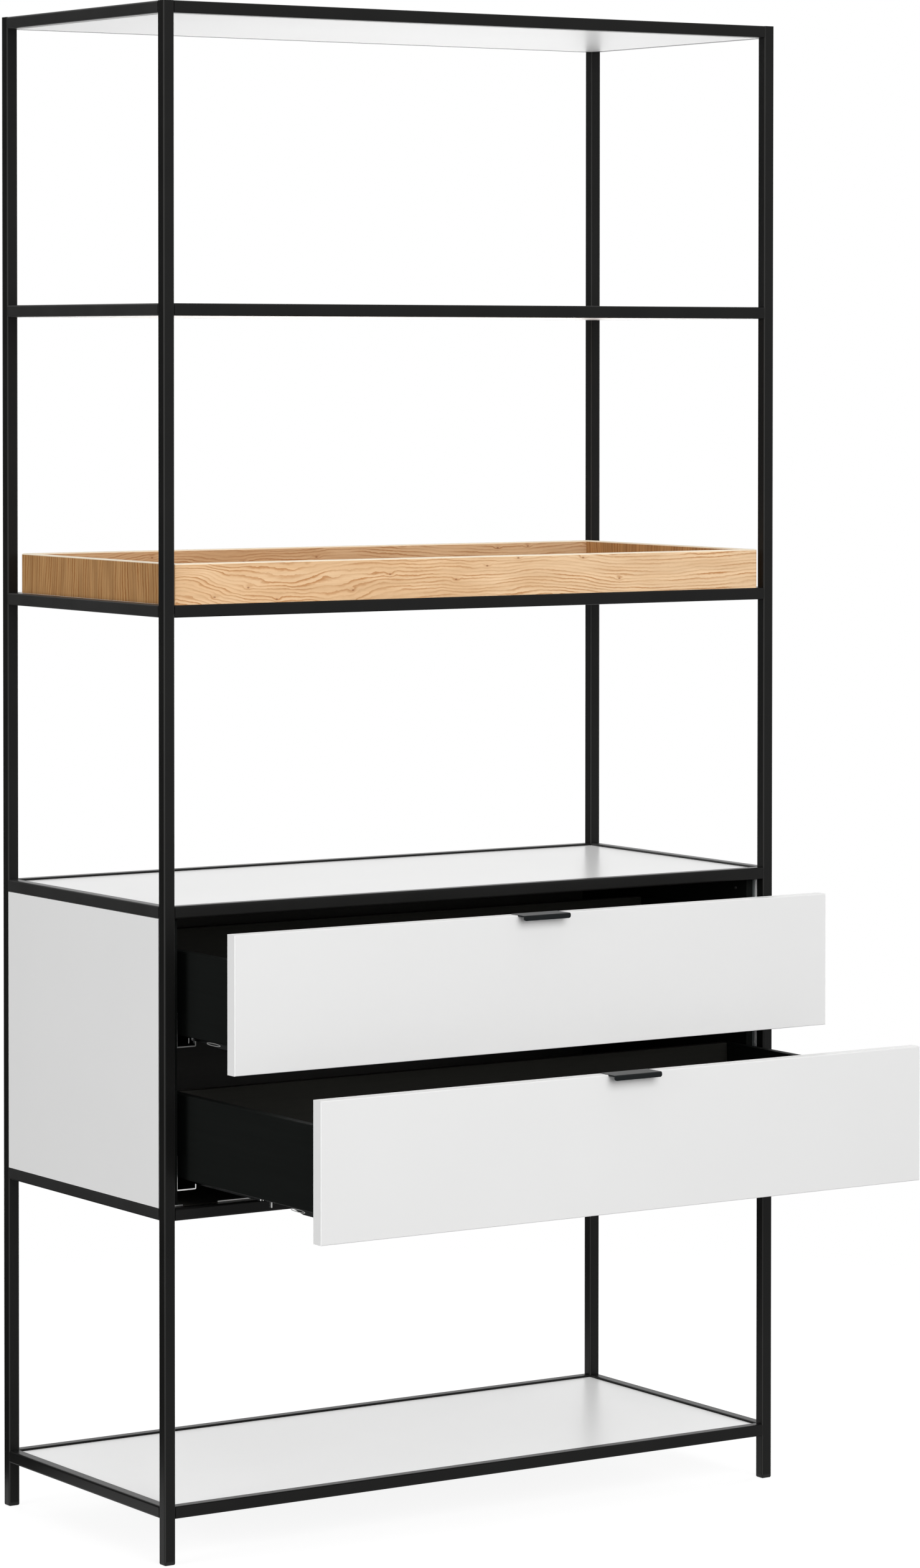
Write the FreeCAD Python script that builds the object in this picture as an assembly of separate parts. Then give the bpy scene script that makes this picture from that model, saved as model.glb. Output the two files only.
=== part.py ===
"""Open bookcase of black square steel tube with white boards, two drawers and an oak tray.

Lengths are in millimetres. X runs to the right, Y to the rear and Z up, with the origin on the
floor in the middle of the four feet. The drawers are modelled part-open, as they stand at rest.
"""
import FreeCAD, Part
import os
from FreeCAD import Vector

os.makedirs("parts", exist_ok=True)

# Frame: outer size and the square tube that all its members share
frame_width = 960.0
frame_depth = 438.0
frame_height = 2000.0
tube_size = 16.0
tube_wall = 1.5
tube_corner_radius = 2.5
post_end_plate = 2.0

# Heights of the upper faces of the rails at each level; the top level is the frame's height
bottom_level = 75.0
cabinet_floor_level = 458.0
cabinet_top_level = 845.0
tray_level = 1230.0
middle_level = 1615.0

# Plastic feet: a pad under each post and a plug inside it
foot_height = 5.0
foot_edge_radius = 2.2
foot_plug_length = 18.0
foot_plug_play = 0.3
foot_plug_taper = 1.2

# Boards between the rails, flush below; the open shelves lie lower than the rails' upper faces
board_thickness = 16.0
board_edge_radius = 0.8
shelf_recess = 2.5

# Cabinet: outer panels between the posts and dark liners that carry the runners
panel_thickness = 16.0
back_thickness = 16.0
liner_thickness = 14.0
liner_gap_behind_front = 2.0

# Drawer fronts, inset between the posts
front_thickness = 18.0
front_edge_radius = 1.0
front_side_gap = 2.0
front_lower_gap = 2.0
front_middle_gap = 6.5
front_upper_gap = 7.5

# How far each drawer stands open at rest
upper_opening = 146.0
lower_opening = 354.0

# Drawer boxes; rises are measured up from the lower edge of the front
box_length = 390.0
box_side_rise = 32.0
box_side_height = 109.0
box_side_thickness = 12.0
box_side_gap = 5.0
box_edge_radius = 1.5
box_lower_edge_radius = 3.0
box_bottom_rise = 12.0
box_bottom_thickness = 8.0
box_back_thickness = 12.0

# Folded edge pulls: a lip before the front, a plate over its top edge and a flange behind it
pull_width = 72.5
pull_sheet = 2.0
pull_reach = 15.0
pull_lip_height = 6.7
pull_flange_height = 20.0
pull_stand = 0.6
pull_bend_radius = 2.6
pull_corner_radius = 3.0
pull_seat_play = 0.2

# Undermount telescopic runners: three nested sheet members on each side of a drawer
runner_sheet = 1.5
runner_play = 0.3
runner_bend_radius = 1.9
runner_base_rise = 16.5
runner_flange_height = 45.5
runner_web_inset = 10.5
runner_front_setback = 2.0
runner_rear_gap = 4.0
middle_member_setback = 10.0
middle_member_length = 360.0
middle_leg_lift = 6.0
drawer_member_setback = 6.0
drawer_member_rear_setback = 12.0
drawer_leg_lift = 9.0
drawer_flange_overhang = 7.0

# Catch tab and front coupling under each drawer
hook_setback = 150.0
hook_arm_length = 12.0
hook_arm_height = 3.0
hook_prong_width = 3.5
hook_floor_gap = 2.0
coupling_setback = 8.0
coupling_length = 86.0
coupling_floor_gap = 5.5
coupling_nose_length = 22.0
coupling_nose_drop = 4.0

# Oak tray, which stands between the posts and nearer the left ones
tray_depth = 413.0
tray_height = 53.0
tray_wall = 10.0
tray_corner_radius = 3.0
tray_rim_radius = 2.0
tray_bottom_thickness = 6.0
tray_bottom_rise = 2.0
tray_left_gap = 1.0
tray_right_gap = 9.0
tray_front_setback = 3.0

# One overrun serves all cuts that leave through a face
overrun = 5.0

# Places worked out from the sizes above
half_width = frame_width / 2
half_depth = frame_depth / 2
inner_half_width = half_width - tube_size
inner_half_depth = half_depth - tube_size
clear_width = 2 * inner_half_width
clear_depth = 2 * inner_half_depth
cabinet_height = cabinet_top_level - tube_size - cabinet_floor_level
front_width = clear_width - 2 * front_side_gap
front_height = (cabinet_height - front_lower_gap - front_middle_gap - front_upper_gap) / 2
lower_front_base = cabinet_floor_level + front_lower_gap
upper_front_base = lower_front_base + front_height + front_middle_gap
liner_face = inner_half_width - liner_thickness
liner_front = -half_depth + front_thickness + liner_gap_behind_front
box_outer = liner_face - box_side_gap
box_inner = box_outer - box_side_thickness
runner_base_width = box_side_gap + box_side_thickness + runner_web_inset + runner_sheet
runner_front = liner_front + runner_front_setback
back_face = half_depth - back_thickness
runner_length = back_face - runner_rear_gap - runner_front
drawer_member_length = box_length - drawer_member_setback - drawer_member_rear_setback
tray_length = clear_width - tray_left_gap - tray_right_gap

LEVELS = {
    "bottom": bottom_level,
    "cabinet_floor": cabinet_floor_level,
    "cabinet_top": cabinet_top_level,
    "tray": tray_level,
    "middle": middle_level,
    "top": frame_height,
}
FLUSH_BOARDS = ("cabinet_floor", "tray")
DRAWERS = {
    "upper": (upper_front_base, upper_opening),
    "lower": (lower_front_base, lower_opening),
}
MIRROR_POINT = Vector(0, 0, 0)
MIRROR_NORMAL = Vector(1, 0, 0)


def save(name, *solids):
    """Write one node; several solids stay separate pieces in it."""
    shape = solids[0] if len(solids) == 1 else Part.makeCompound(list(solids))
    if not shape.isValid():
        raise ValueError("invalid shape in " + name)
    shape.exportStep("parts/" + name + ".step")


def mirrored(shape):
    """The same piece on the other side of the middle plane."""
    return shape.mirror(MIRROR_POINT, MIRROR_NORMAL)


def block(x_low, x_high, y_low, y_high, z_low, z_high):
    """A plain block between two limits on each axis."""
    corner = Vector(x_low, y_low, z_low)
    return Part.makeBox(x_high - x_low, y_high - y_low, z_high - z_low, corner)


def edges_along(shape, axis):
    """The straight edges that run along one axis, 0 for X, 1 for Y and 2 for Z."""
    found = []
    for edge in shape.Edges:
        if len(edge.Vertexes) != 2 or edge.Curve.TypeId != "Part::GeomLine":
            continue
        direction = edge.Vertexes[1].Point - edge.Vertexes[0].Point
        if abs(direction[axis]) > (1 - Part.Precision.angular()) * direction.Length:
            found.append(edge)
    return found


def edges_at(shape, axis, place):
    """The edges that lie wholly in one plane square to an axis."""
    near = Part.Precision.approximation()
    return [
        edge for edge in shape.Edges
        if all(abs(vertex.Point[axis] - place) < near for vertex in edge.Vertexes)
    ]


def tube(axis, x_low, x_high, y_low, y_high, z_low, z_high):
    """A hollow square tube with rounded corners, open at both ends."""
    low = [x_low, y_low, z_low]
    high = [x_high, y_high, z_high]
    outer = block(low[0], high[0], low[1], high[1], low[2], high[2])
    outer = outer.makeFillet(tube_corner_radius, edges_along(outer, axis))
    for other in range(3):
        step = overrun if other == axis else -tube_wall
        low[other] -= step
        high[other] += step
    return outer.cut(block(low[0], high[0], low[1], high[1], low[2], high[2]))


def post(x_low, y_low):
    """A corner post: a tube on its foot, closed at the top by a welded plate."""
    x_high = x_low + tube_size
    y_high = y_low + tube_size
    stem = tube(2, x_low, x_high, y_low, y_high, foot_height, frame_height)
    plate = block(x_low + tube_wall, x_high - tube_wall, y_low + tube_wall,
                  y_high - tube_wall, frame_height - post_end_plate, frame_height)
    return stem.fuse(plate).removeSplitter()


def foot(x_low, y_low):
    """A plastic pad with rounded lower edges and a tapered plug that goes up into the post."""
    pad = block(x_low, x_low + tube_size, y_low, y_low + tube_size, 0, foot_height)
    pad = pad.makeFillet(tube_corner_radius, edges_along(pad, 2))
    pad = pad.makeFillet(foot_edge_radius, edges_at(pad, 2, 0))
    inset = tube_wall + foot_plug_play
    plug = block(x_low + inset, x_low + tube_size - inset, y_low + inset,
                 y_low + tube_size - inset, foot_height, foot_height + foot_plug_length)
    plug = plug.makeChamfer(foot_plug_taper, edges_at(plug, 2, foot_height + foot_plug_length))
    return pad.fuse(plug).removeSplitter()


def board(level, recess):
    """A board that fills the opening of one level, with its upper edges eased."""
    z_high = level - recess
    slab = block(-inner_half_width, inner_half_width, -inner_half_depth, inner_half_depth,
                 level - board_thickness, z_high)
    return slab.makeFillet(board_edge_radius, edges_at(slab, 2, z_high))


def save_frame():
    """Posts, feet, rails and boards."""
    corners = {
        "front_left": (-half_width, -half_depth),
        "front_right": (inner_half_width, -half_depth),
        "back_left": (-half_width, inner_half_depth),
        "back_right": (inner_half_width, inner_half_depth),
    }
    for name, (x_low, y_low) in corners.items():
        save("post_" + name, post(x_low, y_low))
    save("feet", *[foot(x_low, y_low) for x_low, y_low in corners.values()])
    for name, level in LEVELS.items():
        z_low = level - tube_size
        save("rail_" + name + "_front", tube(0, -inner_half_width, inner_half_width,
                                             -half_depth, -inner_half_depth, z_low, level))
        save("rail_" + name + "_back", tube(0, -inner_half_width, inner_half_width,
                                            inner_half_depth, half_depth, z_low, level))
        side = tube(1, -half_width, -inner_half_width,
                    -inner_half_depth, inner_half_depth, z_low, level)
        save("rail_" + name + "_left", side)
        save("rail_" + name + "_right", mirrored(side))
        save("board_" + name, board(level, 0 if name in FLUSH_BOARDS else shelf_recess))


def save_cabinet():
    """Side panels between the posts, dark liners behind them and the back panel."""
    z_low = cabinet_floor_level
    z_high = cabinet_floor_level + cabinet_height
    panel = block(-half_width, -half_width + panel_thickness,
                  -inner_half_depth, inner_half_depth, z_low, z_high)
    save("cabinet_panel_left", panel)
    save("cabinet_panel_right", mirrored(panel))
    liner = block(-inner_half_width, -liner_face, liner_front, back_face, z_low, z_high)
    save("cabinet_liner_left", liner)
    save("cabinet_liner_right", mirrored(liner))
    back = block(-inner_half_width, inner_half_width, back_face, half_depth, z_low, z_high)
    save("cabinet_back", back)


def sheet_profile(points, y_low, length, bends):
    """A folded sheet: a closed outline in X and Z, drawn along Y, with its bends rounded."""
    corners = [Vector(x, y_low, z) for x, z in points]
    wire = Part.makePolygon(corners + corners[:1])
    solid = Part.Face(wire).extrude(Vector(0, length, 0))
    near = Part.Precision.approximation()
    outer = []
    for edge in edges_along(solid, 1):
        place = edge.Vertexes[0].Point
        if any(abs(place.x - x) < near and abs(place.z - z) < near for x, z in bends):
            outer.append(edge)
    return solid.makeFillet(runner_bend_radius, outer)


def runner_heights(base):
    """Heights of the nested plates of one runner, from the lower edge of its drawer's front.

    Returns the underside of the base, then the tops of the web, of the middle member and of
    the drawer member, which meets the underside of the box.
    """
    drawer_top = base + box_side_rise + box_bottom_rise
    middle_top = drawer_top - runner_sheet - runner_play
    web_top = middle_top - runner_sheet - runner_play
    return base + runner_base_rise, web_top, middle_top, drawer_top


def web_faces():
    """The outer and inner faces, in X, of the left runner's upright web."""
    outer = -liner_face + runner_base_width - runner_sheet
    return outer, outer + runner_sheet


def cabinet_member(base):
    """The fixed member: a wall flange, a base and an upright web that guides the others."""
    z_base, z_web, _, _ = runner_heights(base)
    x_wall = -liner_face
    x_web, x_end = web_faces()
    z_flange = z_base + runner_flange_height
    outline = [
        (x_wall, z_flange), (x_wall, z_base), (x_end, z_base), (x_end, z_web), (x_web, z_web),
        (x_web, z_base + runner_sheet), (x_wall + runner_sheet, z_base + runner_sheet),
        (x_wall + runner_sheet, z_flange),
    ]
    return sheet_profile(outline, runner_front, runner_length,
                         [(x_wall, z_base), (x_end, z_base)])


def channel(y_low, length, x_legs, z_top, z_legs, overhang):
    """A channel that opens downwards, with its top plate widened outwards by the overhangs."""
    x_out, x_in = x_legs
    x_left = x_out - overhang[0]
    x_right = x_in + overhang[1]
    z_plate = z_top - runner_sheet
    outline = [(x_left, z_top), (x_right, z_top), (x_right, z_plate), (x_in, z_plate),
               (x_in, z_legs), (x_in - runner_sheet, z_legs), (x_in - runner_sheet, z_plate),
               (x_out + runner_sheet, z_plate), (x_out + runner_sheet, z_legs),
               (x_out, z_legs), (x_out, z_plate)]
    if overhang == (0, 0):
        outline = [(x_out, z_top), (x_in, z_top)] + outline[4:10]
        return sheet_profile(outline, y_low, length, [(x_out, z_top), (x_in, z_top)])
    corners = [Vector(x, y_low, z) for x, z in outline]
    wire = Part.makePolygon(corners + corners[:1])
    return Part.Face(wire).extrude(Vector(0, length, 0))


def middle_legs():
    """Outer faces, in X, of the middle member's legs round the web."""
    x_web, x_end = web_faces()
    reach = runner_play + runner_sheet
    return x_web - reach, x_end + reach


def middle_member(base, opening):
    """The travelling member, which moves half as far as its drawer."""
    z_base, _, z_top, _ = runner_heights(base)
    y_low = runner_front + middle_member_setback - opening / 2
    return channel(y_low, middle_member_length, middle_legs(), z_top,
                   z_base + runner_sheet + middle_leg_lift, (0, 0))


def drawer_member(base, opening):
    """The member under the box, with its catch tab and the coupling behind the front."""
    z_base, _, _, z_top = runner_heights(base)
    z_floor = z_base + runner_sheet
    x_out, x_in = middle_legs()
    reach = runner_play + runner_sheet
    legs = (x_out - reach, x_in + reach)
    y_front = -half_depth - opening + front_thickness
    y_low = y_front + drawer_member_setback
    z_legs = z_floor + drawer_leg_lift
    flange = legs[0] + box_inner
    member = channel(y_low, drawer_member_length, legs, z_top, z_legs,
                     (flange, drawer_flange_overhang))
    y_hook = y_front + hook_setback
    arm = block(legs[0] - runner_sheet, legs[0], y_hook, y_hook + hook_arm_length,
                z_legs, z_legs + hook_arm_height)
    prong = block(legs[0] - runner_sheet, legs[0],
                  y_hook + hook_arm_length - hook_prong_width, y_hook + hook_arm_length,
                  z_floor + hook_floor_gap, z_legs + hook_arm_height)
    return member.fuse([arm, prong]).removeSplitter(), coupling(base, y_front, legs[0])


def coupling(base, y_front, x_leg):
    """The moulded front coupling between the box side and the drawer member, nose sloped up."""
    z_base, _, _, z_top = runner_heights(base)
    z_low = z_base + runner_sheet + coupling_floor_gap
    z_high = z_top - runner_sheet
    y_low = y_front + coupling_setback
    y_high = y_low + coupling_length
    outline = [(y_low, z_high), (y_low, z_low + coupling_nose_drop),
               (y_low + coupling_nose_length, z_low),
               (y_high - coupling_nose_length, z_low),
               (y_high, z_low + coupling_nose_drop), (y_high, z_high)]
    corners = [Vector(-box_inner, y, z) for y, z in outline]
    wire = Part.makePolygon(corners + corners[:1])
    return Part.Face(wire).extrude(Vector(x_leg + box_inner, 0, 0))


def pull(base, opening):
    """A folded sheet: a short lip, a plate over the front's top edge and a flange behind it."""
    y_face = -half_depth - opening
    z_top = base + front_height + pull_stand
    z_plate = z_top - pull_sheet
    z_lip = z_top - pull_lip_height
    z_flange = z_top - pull_flange_height
    y_lip = y_face - pull_reach
    y_flange = y_face + front_thickness
    y_rear = y_flange + pull_sheet
    outline = [(y_rear, z_top), (y_lip, z_top), (y_lip, z_lip), (y_lip + pull_sheet, z_lip),
               (y_lip + pull_sheet, z_plate), (y_flange, z_plate), (y_flange, z_flange),
               (y_rear, z_flange)]
    corners = [Vector(-pull_width / 2, y, z) for y, z in outline]
    wire = Part.makePolygon(corners + corners[:1])
    solid = Part.Face(wire).extrude(Vector(pull_width, 0, 0))
    near = Part.Precision.approximation()
    bends = [edge for edge in edges_along(solid, 0)
             if abs(edge.Vertexes[0].Point.z - z_top) < near]
    solid = solid.makeFillet(pull_bend_radius, bends)
    ends = [edge for edge in edges_along(solid, 1)
            if min(abs(edge.Vertexes[0].Point.z - z) for z in (z_lip, z_flange)) < near]
    return solid.makeFillet(pull_corner_radius, ends)


def drawer_front(base, opening):
    """The slab front, with eased edges and the seat for the pull across its top edge."""
    y_face = -half_depth - opening
    half = front_width / 2
    z_top = base + front_height
    slab = block(-half, half, y_face, y_face + front_thickness, base, z_top)
    slab = slab.makeFillet(front_edge_radius, edges_at(slab, 1, y_face))
    seat_half = pull_width / 2 + pull_seat_play
    seat = block(-seat_half, seat_half, y_face - overrun, y_face + front_thickness + overrun,
                 z_top + pull_stand - pull_sheet, z_top + overrun)
    return slab.cut(seat)


def save_drawer(name, base, opening):
    """One drawer: front, pull, box and its share of the runners."""
    y_front = -half_depth - opening + front_thickness
    y_rear = y_front + box_length
    z_side = base + box_side_rise
    z_rim = z_side + box_side_height
    z_floor = z_side + box_bottom_rise
    z_inside = z_floor + box_bottom_thickness
    side = block(-box_outer, -box_inner, y_front, y_rear, z_side, z_rim)
    rim = [edge for edge in edges_along(side, 1)
           if edge.Vertexes[0].Point.z > (z_side + z_rim) / 2]
    side = side.makeFillet(box_edge_radius, rim)
    near = Part.Precision.approximation()
    lower = [edge for edge in edges_along(side, 1)
             if abs(edge.Vertexes[0].Point.z - z_side) < near
             and abs(edge.Vertexes[0].Point.x + box_outer) < near]
    side = side.makeFillet(box_lower_edge_radius, lower)
    save(name + "_drawer_front", drawer_front(base, opening))
    save(name + "_drawer_pull", pull(base, opening))
    save(name + "_drawer_side_left", side)
    save(name + "_drawer_side_right", mirrored(side))
    save(name + "_drawer_bottom", block(-box_inner, box_inner, y_front, y_rear,
                                        z_floor, z_inside))
    back = block(-box_inner, box_inner, y_rear - box_back_thickness, y_rear, z_inside, z_rim)
    rim = [edge for edge in edges_along(back, 0)
           if edge.Vertexes[0].Point.z > (z_inside + z_rim) / 2]
    save(name + "_drawer_back", back.makeFillet(box_edge_radius, rim))
    member, clip = drawer_member(base, opening)
    save(name + "_runner_drawer_members", member, clip, mirrored(member), mirrored(clip))
    travelling = middle_member(base, opening)
    save(name + "_runner_middle_members", travelling, mirrored(travelling))


def tray_ring(x_low, x_high, y_low, y_high):
    """The tray's four walls in one piece, with rounded corners and rim."""
    z_high = tray_level + tray_height
    outer = block(x_low, x_high, y_low, y_high, tray_level, z_high)
    outer = outer.makeFillet(tray_corner_radius, edges_along(outer, 2))
    inner = block(x_low + tray_wall, x_high - tray_wall, y_low + tray_wall,
                  y_high - tray_wall, tray_level - overrun, z_high + overrun)
    ring = outer.cut(inner)
    return ring.makeFillet(tray_rim_radius, edges_at(ring, 2, z_high))


def mitre_wedge(points, z_low, z_high):
    """An upright prism over a plan outline, which cuts one wall out of the ring."""
    corners = [Vector(x, y, z_low) for x, y in points]
    wire = Part.makePolygon(corners + corners[:1])
    return Part.Face(wire).extrude(Vector(0, 0, z_high - z_low))


def save_tray():
    """The loose tray: mitred walls round a bottom panel, standing on its board."""
    x_low = -inner_half_width + tray_left_gap
    x_high = x_low + tray_length
    y_low = -half_depth + tray_front_setback
    y_high = y_low + tray_depth
    ring = tray_ring(x_low, x_high, y_low, y_high)
    reach = tray_depth / 2
    y_mid = y_low + reach
    spine = [(x_low + reach, y_mid), (x_high - reach, y_mid)]
    z_span = (tray_level - overrun, tray_level + tray_height + overrun)
    front = mitre_wedge([(x_low, y_low), (x_high, y_low), spine[1], spine[0]], *z_span)
    back = mitre_wedge([(x_high, y_high), (x_low, y_high), spine[0], spine[1]], *z_span)
    left = mitre_wedge([(x_low, y_high), (x_low, y_low), spine[0]], *z_span)
    right = mitre_wedge([(x_high, y_low), (x_high, y_high), spine[1]], *z_span)
    save("tray_long_walls", *[ring.common(wedge).Solids[0] for wedge in (front, back)])
    save("tray_end_walls", *[ring.common(wedge).Solids[0] for wedge in (left, right)])
    z_low = tray_level + tray_bottom_rise
    save("tray_bottom", block(x_low + tray_wall, x_high - tray_wall, y_low + tray_wall,
                              y_high - tray_wall, z_low, z_low + tray_bottom_thickness))


def main():
    save_frame()
    save_cabinet()
    fixed = [cabinet_member(base) for base, _ in DRAWERS.values()]
    save("runner_cabinet_members", *(fixed + [mirrored(member) for member in fixed]))
    for name, (base, opening) in DRAWERS.items():
        save_drawer(name, base, opening)
    save_tray()


main()
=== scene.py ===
"""Studio scene of an open bookcase: black steel frame, white boards, two drawers and an oak tray.

Lengths are in metres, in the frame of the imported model: X to the right, Y to the rear, Z up.
"""
import enum
import logging
import math
from dataclasses import dataclass
from typing import Any, ClassVar, Mapping, Sequence, TypeAlias

import bpy
import numpy as np
from mathutils import Matrix, Vector


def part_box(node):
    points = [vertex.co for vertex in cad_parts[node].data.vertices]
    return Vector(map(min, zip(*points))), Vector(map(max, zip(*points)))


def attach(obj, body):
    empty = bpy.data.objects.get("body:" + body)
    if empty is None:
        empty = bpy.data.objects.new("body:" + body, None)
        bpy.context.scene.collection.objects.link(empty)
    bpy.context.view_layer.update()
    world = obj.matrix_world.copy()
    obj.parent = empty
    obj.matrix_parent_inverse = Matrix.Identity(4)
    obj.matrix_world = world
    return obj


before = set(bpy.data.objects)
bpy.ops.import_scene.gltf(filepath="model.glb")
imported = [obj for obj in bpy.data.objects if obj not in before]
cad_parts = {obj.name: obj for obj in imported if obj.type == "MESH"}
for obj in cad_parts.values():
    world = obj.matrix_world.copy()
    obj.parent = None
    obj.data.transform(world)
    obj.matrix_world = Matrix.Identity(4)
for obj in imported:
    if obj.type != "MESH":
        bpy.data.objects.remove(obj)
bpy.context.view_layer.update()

LOG = logging.getLogger("bookcase")
MM = 0.001
DRAWERS = ("upper", "lower")

Colour = tuple[float, float, float]
Triple = tuple[float, float, float]
Span = tuple[float, float]
Number: TypeAlias = "float | Value"
Socket = bpy.types.NodeSocket
Material = bpy.types.Material

WHITE: Colour = (1.0, 1.0, 1.0)
BLACK: Colour = (0.0, 0.0, 0.0)


def scaled(colour: Colour, share: float) -> Colour:
    """A colour times one number."""
    return tuple(share * part for part in colour)


@dataclass(frozen=True)
class Relief:
    """A shallow texture in the normal: its depth in metres and how strongly it shows."""

    depth: float
    strength: float


class Value:
    """A number in a node tree. Arithmetic on it adds Math nodes."""

    def __init__(self, graph: "Graph", socket: Socket) -> None:
        """Wrap an output socket of the graph's tree."""
        self.graph = graph
        self.socket = socket

    def __add__(self, other: Number) -> "Value":
        """Sum with a number or value."""
        return self.graph.math("ADD", self, other)

    def __sub__(self, other: Number) -> "Value":
        """Difference to a number or value."""
        return self.graph.math("SUBTRACT", self, other)

    def __rsub__(self, other: Number) -> "Value":
        """Difference from a number."""
        return self.graph.math("SUBTRACT", other, self)

    def __mul__(self, other: Number) -> "Value":
        """Product with a number or value."""
        return self.graph.math("MULTIPLY", self, other)

    def __truediv__(self, other: Number) -> "Value":
        """Quotient by a number or value."""
        return self.graph.math("DIVIDE", self, other)

    def __abs__(self) -> "Value":
        """Size without sign."""
        return self.graph.math("ABSOLUTE", self)

    __radd__ = __add__
    __rmul__ = __mul__

    def fraction(self) -> "Value":
        """What is left above the next lower whole number."""
        return self.graph.math("FRACT", self)

    def root(self) -> "Value":
        """Square root."""
        return self.graph.math("SQRT", self)

    def rise(self, low: float, high: float) -> "Value":
        """Smooth step from 0 at low to 1 at high, or down where high is the smaller.

        Args:
            low: Value at which the step is 0.
            high: Value at which the step is 1.

        Returns:
            The step, between 0 and 1.
        """
        step = self.graph.node(
            "ShaderNodeMapRange", {"interpolation_type": "SMOOTHSTEP"},
            {"Value": self, "From Min": low, "From Max": high})
        return Value(self.graph, step.outputs["Result"])


class Graph:
    """A node tree that is built from expressions."""

    # Places of the colour sockets on a Mix node, whose names are not unique
    mix_low: ClassVar[int] = 6
    mix_high: ClassVar[int] = 7
    mix_result: ClassVar[int] = 2

    def __init__(self, tree: bpy.types.NodeTree) -> None:
        """Start with an empty tree."""
        self.tree = tree
        self.tree.nodes.clear()

    def node(self, kind: str, settings: Mapping[str, Any], sockets: Mapping[Any, Any]) -> Any:
        """Add one node.

        Args:
            kind: Blender's node type.
            settings: The node's own properties.
            sockets: Numbers, colours, values or output sockets by input name or place.

        Returns:
            The new node.
        """
        made = self.tree.nodes.new(kind)
        for name, setting in settings.items():
            setattr(made, name, setting)
        for key, given in sockets.items():
            plug = given.socket if isinstance(given, Value) else given
            if isinstance(plug, Socket):
                self.tree.links.new(plug, made.inputs[key])
            else:
                made.inputs[key].default_value = plug
        return made

    def math(self, operation: str, *terms: Number) -> Value:
        """Add one Math node on numbers or values."""
        made = self.node("ShaderNodeMath", {"operation": operation}, dict(enumerate(terms)))
        return Value(self, made.outputs[0])

    def place(self) -> tuple[Value, Value, Value]:
        """The surface point.

        Returns:
            X, Y and Z in the object's own coordinates.
        """
        coordinates = self.node("ShaderNodeTexCoord", {}, {})
        split = self.node("ShaderNodeSeparateXYZ", {}, {0: coordinates.outputs["Object"]})
        return tuple(Value(self, socket) for socket in split.outputs)

    def vector(self, parts: Sequence[Value]) -> Socket:
        """Join two or three coordinates."""
        return self.node("ShaderNodeCombineXYZ", {}, dict(enumerate(parts))).outputs[0]

    def noise(self, point: Sequence[Value], cell: float | Triple, detail: float = 2.0,
              rough: float = 0.5) -> Value:
        """Smooth noise at a point.

        Args:
            point: Three coordinates.
            cell: Size of the noise, one for all three or one for each.
            detail: Octaves added to the first.
            rough: Share of each octave in the one before.

        Returns:
            The noise, about 0.5 on average.
        """
        sizes = cell if isinstance(cell, tuple) else (cell,) * len(point)
        joined = self.vector([place / size for place, size in zip(point, sizes)])
        made = self.node("ShaderNodeTexNoise", {"normalize": True},
                         {"Vector": joined, "Scale": 1.0, "Detail": detail, "Roughness": rough})
        return Value(self, made.outputs[0])

    def cells(self, point: Sequence[Value]) -> tuple[Value, Value]:
        """Points scattered over a plane, one to a unit cell.

        Args:
            point: Two coordinates, scaled beforehand so that a cell is one unit.

        Returns:
            The distance to the nearest point, and a random number that goes with it.
        """
        made = self.node("ShaderNodeTexVoronoi", {"voronoi_dimensions": "2D"},
                         {"Vector": self.vector(point), "Scale": 1.0, "Randomness": 1.0})
        split = self.node("ShaderNodeSeparateColor", {}, {0: made.outputs["Color"]})
        return Value(self, made.outputs["Distance"]), Value(self, split.outputs[0])

    def blend(self, share: Number, low: Any, high: Any, way: str = "MIX") -> Socket:
        """Mix two colours.

        Args:
            share: How far to go from the first to the second, from 0 to 1.
            low: The first, a triple or a colour socket.
            high: The second, likewise.
            way: Blender's word for the way of mixing.

        Returns:
            The mixed colour.
        """
        first, second = ((*c, 1.0) if isinstance(c, tuple) else c for c in (low, high))
        made = self.node("ShaderNodeMix", {"data_type": "RGBA", "blend_type": way},
                         {0: share, self.mix_low: first, self.mix_high: second})
        return made.outputs[self.mix_result]

    def vary(self, share: Value, colour: Colour, shades: Span) -> Socket:
        """Let a colour run between two shades of itself, by a share from 0 to 1."""
        return self.blend(share, *(scaled(colour, shade) for shade in shades))

    def shade(self, colour: Socket, factor: Value) -> Socket:
        """Multiply a colour by one value."""
        return self.node("ShaderNodeVectorMath", {"operation": "SCALE"},
                         {0: colour, "Scale": factor}).outputs[0]

    def bump(self, height: Value, relief: Relief) -> Socket:
        """The normal that a height, in shares of the relief's depth, gives the surface."""
        return self.node("ShaderNodeBump", {}, {"Height": height, "Distance": relief.depth,
                                                "Strength": relief.strength}).outputs[0]

    def seen(self) -> Value:
        """Whether a ray is one that shows the surface, and not one that only gathers light.

        Returns:
            1 on rays from the camera, from mirrors and through glass, and 0 on others.
        """
        rays = self.node("ShaderNodeLightPath", {}, {})
        kinds = ("Is Camera Ray", "Is Glossy Ray", "Is Transmission Ray")
        camera, mirror, glass = (Value(self, rays.outputs[kind]) for kind in kinds)
        return (camera + mirror + glass).rise(0.0, 1.0)


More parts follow.
